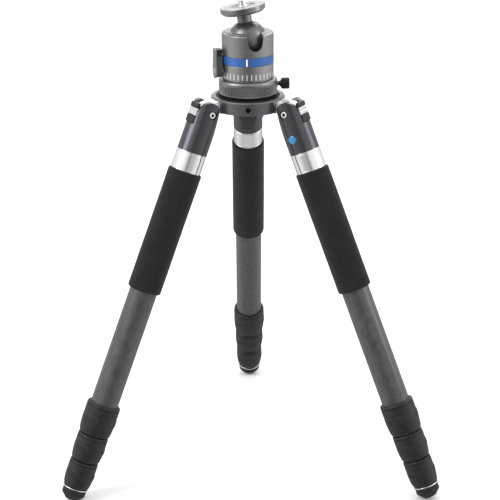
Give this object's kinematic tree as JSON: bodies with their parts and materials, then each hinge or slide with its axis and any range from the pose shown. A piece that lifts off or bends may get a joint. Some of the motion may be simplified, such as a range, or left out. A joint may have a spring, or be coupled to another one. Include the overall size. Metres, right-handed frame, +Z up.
{
  "type": "camera tripod",
  "caption": "Carbon camera tripod with telescoping twist-lock legs, foam grips, angle-stop hinges and a drop-notch ball head with a round camera platform.",
  "frame": {"origin": "the point on the floor under the head's pan axis, at the middle of the three feet", "axes": "+Z up along the pan axis, +Y towards the rear leg, +X to the right seen from the front, -Y towards the front"},
  "size_m": [0.4916, 0.43, 0.6305],
  "materials": {
    "polished_alloy": "polished turned aluminium",
    "dark_alloy": "dark grey anodised aluminium",
    "head_alloy": "satin grey anodised aluminium",
    "lever_alloy": "satin dark grey anodised aluminium",
    "blue_alloy": "satin blue anodised aluminium",
    "blue_gloss": "glossy blue",
    "carbon": "satin woven carbon fibre",
    "foam": "matte black closed-cell foam",
    "lock_rubber": "matte black ribbed rubber",
    "foot_rubber": "matte black rubber",
    "steel": "bright plated steel",
    "black_plastic": "matte black moulded plastic",
    "seat_plastic": "off-white low-friction plastic"
  },
  "bodies": {
    "root": {"spider": "polished_alloy", "hub": "dark_alloy", "hinge_bolts": "steel", "head_stud": "steel", "base_gasket": "black_plastic", "pan_base": "head_alloy"},
    "pan_knob": {"pan_knob": "black_plastic"},
    "head": {"drum": "head_alloy", "housing": "head_alloy"},
    "drag_ring": {"drag_ring": "blue_alloy"},
    "lock_lever": {"lock_lever": "lever_alloy", "lock_spindle": "steel"},
    "ball_seat": {"ball_seat": "seat_plastic"},
    "ball": {"ball": "head_alloy"},
    "platform": {"platform": "head_alloy", "camera_screw": "steel"},
    "leg_left": {"fork_left": "dark_alloy", "sleeve_left": "polished_alloy", "foam_grip_left": "foam", "tube1_left": "carbon"},
    "angle_stop_left": {"angle_stop_left": "black_plastic"},
    "release_button_left": {"release_button_left": "blue_gloss"},
    "lock1_left": {"lock1_left": "lock_rubber"},
    "lock2_left": {"lock2_left": "lock_rubber"},
    "lock3_left": {"lock3_left": "lock_rubber"},
    "section2_left": {"tube2_left": "carbon"},
    "section3_left": {"tube3_left": "carbon"},
    "section4_left": {"tube4_left": "carbon", "foot_ring_left": "steel", "foot_left": "foot_rubber"},
    "leg_right": {"fork_right": "dark_alloy", "sleeve_right": "polished_alloy", "foam_grip_right": "foam", "tube1_right": "carbon"},
    "angle_stop_right": {"angle_stop_right": "black_plastic"},
    "release_button_right": {"release_button_right": "blue_gloss"},
    "lock1_right": {"lock1_right": "lock_rubber"},
    "lock2_right": {"lock2_right": "lock_rubber"},
    "lock3_right": {"lock3_right": "lock_rubber"},
    "section2_right": {"tube2_right": "carbon"},
    "section3_right": {"tube3_right": "carbon"},
    "section4_right": {"tube4_right": "carbon", "foot_ring_right": "steel", "foot_right": "foot_rubber"},
    "leg_rear": {"fork_rear": "dark_alloy", "sleeve_rear": "polished_alloy", "foam_grip_rear": "foam", "tube1_rear": "carbon"},
    "angle_stop_rear": {"angle_stop_rear": "black_plastic"},
    "release_button_rear": {"release_button_rear": "blue_gloss"},
    "lock1_rear": {"lock1_rear": "lock_rubber"},
    "lock2_rear": {"lock2_rear": "lock_rubber"},
    "lock3_rear": {"lock3_rear": "lock_rubber"},
    "section2_rear": {"tube2_rear": "carbon"},
    "section3_rear": {"tube3_rear": "carbon"},
    "section4_rear": {"tube4_rear": "carbon", "foot_ring_rear": "steel", "foot_rear": "foot_rubber"}
  },
  "joints": [
    {"name": "head_pan", "type": "hinge", "parent": "root", "child": "head", "pos_m": [0, 0, 0.53112], "axis": [0, 0, 1], "continuous": true},
    {"name": "pan_knob_turn", "type": "hinge", "parent": "root", "child": "pan_knob", "pos_m": [0.042, 0, 0.52272], "axis": [1, 0, 0], "range_deg": [0, 180]},
    {"name": "drag_ring_turn", "type": "hinge", "parent": "head", "child": "drag_ring", "pos_m": [0, 0, 0.55612], "axis": [0, 0, 1], "range_deg": [-60, 60]},
    {"name": "lock_lever_turn", "type": "hinge", "parent": "head", "child": "lock_lever", "pos_m": [-0.03284, -0.0088, 0.54183], "axis": [-0.9659, -0.2588, 0], "range_deg": [0, 90]},
    {"name": "ball_roll", "type": "hinge", "parent": "head", "child": "ball_seat", "pos_m": [0, 0, 0.57973], "axis": [0.309, -0.9511, 0], "range_deg": [-29.6, 14.4]},
    {"name": "ball_drop", "type": "hinge", "parent": "ball_seat", "child": "ball", "pos_m": [0, 0, 0.57973], "axis": [0.9427, 0.3063, 0.1323], "range_deg": [-19.5, 94.4]},
    {"name": "platform_spin", "type": "hinge", "parent": "ball", "child": "platform", "pos_m": [-0.00507, 0.0011, 0.61333], "axis": [-0.1491, 0.0322, 0.9883], "continuous": true},
    {"name": "leg_left_hinge", "type": "hinge", "parent": "root", "child": "leg_left", "pos_m": [-0.05369, -0.031, 0.49323], "axis": [-0.5, 0.866, 0], "range_deg": [-23, 55]},
    {"name": "angle_stop_left_pull", "type": "slide", "parent": "leg_left", "child": "angle_stop_left", "axis": [-0.7972, -0.4603, 0.3907], "range_m": [0, 0.004], "stiffness_N_per_m": 400},
    {"name": "release_button_left_press", "type": "slide", "parent": "leg_left", "child": "release_button_left", "axis": [0.5, -0.866, 0], "range_m": [0, 0.0022], "stiffness_N_per_m": 400},
    {"name": "lock1_left_twist", "type": "hinge", "parent": "leg_left", "child": "lock1_left", "pos_m": [-0.19548, -0.11286, 0.10753], "axis": [-0.3384, -0.1954, -0.9205], "range_deg": [0, 90]},
    {"name": "section2_left_slide", "type": "slide", "parent": "leg_left", "child": "section2_left", "axis": [-0.3384, -0.1954, -0.9205], "range_m": [0, 0.29]},
    {"name": "lock2_left_twist", "type": "hinge", "parent": "section2_left", "child": "lock2_left", "pos_m": [-0.20905, -0.12069, 0.07062], "axis": [-0.3384, -0.1954, -0.9205], "range_deg": [0, 90]},
    {"name": "section3_left_slide", "type": "slide", "parent": "section2_left", "child": "section3_left", "axis": [-0.3384, -0.1954, -0.9205], "range_m": [0, 0.285]},
    {"name": "lock3_left_twist", "type": "hinge", "parent": "section3_left", "child": "lock3_left", "pos_m": [-0.2216, -0.12794, 0.03647], "axis": [-0.3384, -0.1954, -0.9205], "range_deg": [0, 90]},
    {"name": "section4_left_slide", "type": "slide", "parent": "section3_left", "child": "section4_left", "axis": [-0.3384, -0.1954, -0.9205], "range_m": [0, 0.31]},
    {"name": "leg_right_hinge", "type": "hinge", "parent": "root", "child": "leg_right", "pos_m": [0.05369, -0.031, 0.49323], "axis": [-0.5, -0.866, 0], "range_deg": [-23, 55]},
    {"name": "angle_stop_right_pull", "type": "slide", "parent": "leg_right", "child": "angle_stop_right", "axis": [0.7972, -0.4603, 0.3907], "range_m": [0, 0.004], "stiffness_N_per_m": 400},
    {"name": "release_button_right_press", "type": "slide", "parent": "leg_right", "child": "release_button_right", "axis": [0.5, 0.866, 0], "range_m": [0, 0.0022], "stiffness_N_per_m": 400},
    {"name": "lock1_right_twist", "type": "hinge", "parent": "leg_right", "child": "lock1_right", "pos_m": [0.19548, -0.11286, 0.10753], "axis": [0.3384, -0.1954, -0.9205], "range_deg": [0, 90]},
    {"name": "section2_right_slide", "type": "slide", "parent": "leg_right", "child": "section2_right", "axis": [0.3384, -0.1954, -0.9205], "range_m": [0, 0.29]},
    {"name": "lock2_right_twist", "type": "hinge", "parent": "section2_right", "child": "lock2_right", "pos_m": [0.20905, -0.12069, 0.07062], "axis": [0.3384, -0.1954, -0.9205], "range_deg": [0, 90]},
    {"name": "section3_right_slide", "type": "slide", "parent": "section2_right", "child": "section3_right", "axis": [0.3384, -0.1954, -0.9205], "range_m": [0, 0.285]},
    {"name": "lock3_right_twist", "type": "hinge", "parent": "section3_right", "child": "lock3_right", "pos_m": [0.2216, -0.12794, 0.03647], "axis": [0.3384, -0.1954, -0.9205], "range_deg": [0, 90]},
    {"name": "section4_right_slide", "type": "slide", "parent": "section3_right", "child": "section4_right", "axis": [0.3384, -0.1954, -0.9205], "range_m": [0, 0.31]},
    {"name": "leg_rear_hinge", "type": "hinge", "parent": "root", "child": "leg_rear", "pos_m": [0, 0.062, 0.49323], "axis": [1, 0, 0], "range_deg": [-23, 55]},
    {"name": "angle_stop_rear_pull", "type": "slide", "parent": "leg_rear", "child": "angle_stop_rear", "axis": [0, 0.9205, 0.3907], "range_m": [0, 0.004], "stiffness_N_per_m": 400},
    {"name": "release_button_rear_press", "type": "slide", "parent": "leg_rear", "child": "release_button_rear", "axis": [-1, 0, 0], "range_m": [0, 0.0022], "stiffness_N_per_m": 400},
    {"name": "lock1_rear_twist", "type": "hinge", "parent": "leg_rear", "child": "lock1_rear", "pos_m": [0, 0.22572, 0.10753], "axis": [0, 0.3907, -0.9205], "range_deg": [0, 90]},
    {"name": "section2_rear_slide", "type": "slide", "parent": "leg_rear", "child": "section2_rear", "axis": [0, 0.3907, -0.9205], "range_m": [0, 0.29]},
    {"name": "lock2_rear_twist", "type": "hinge", "parent": "section2_rear", "child": "lock2_rear", "pos_m": [0, 0.24138, 0.07062], "axis": [0, 0.3907, -0.9205], "range_deg": [0, 90]},
    {"name": "section3_rear_slide", "type": "slide", "parent": "section2_rear", "child": "section3_rear", "axis": [0, 0.3907, -0.9205], "range_m": [0, 0.285]},
    {"name": "lock3_rear_twist", "type": "hinge", "parent": "section3_rear", "child": "lock3_rear", "pos_m": [0, 0.25588, 0.03647], "axis": [0, 0.3907, -0.9205], "range_deg": [0, 90]},
    {"name": "section4_rear_slide", "type": "slide", "parent": "section3_rear", "child": "section4_rear", "axis": [0, 0.3907, -0.9205], "range_m": [0, 0.31]}
  ]
}
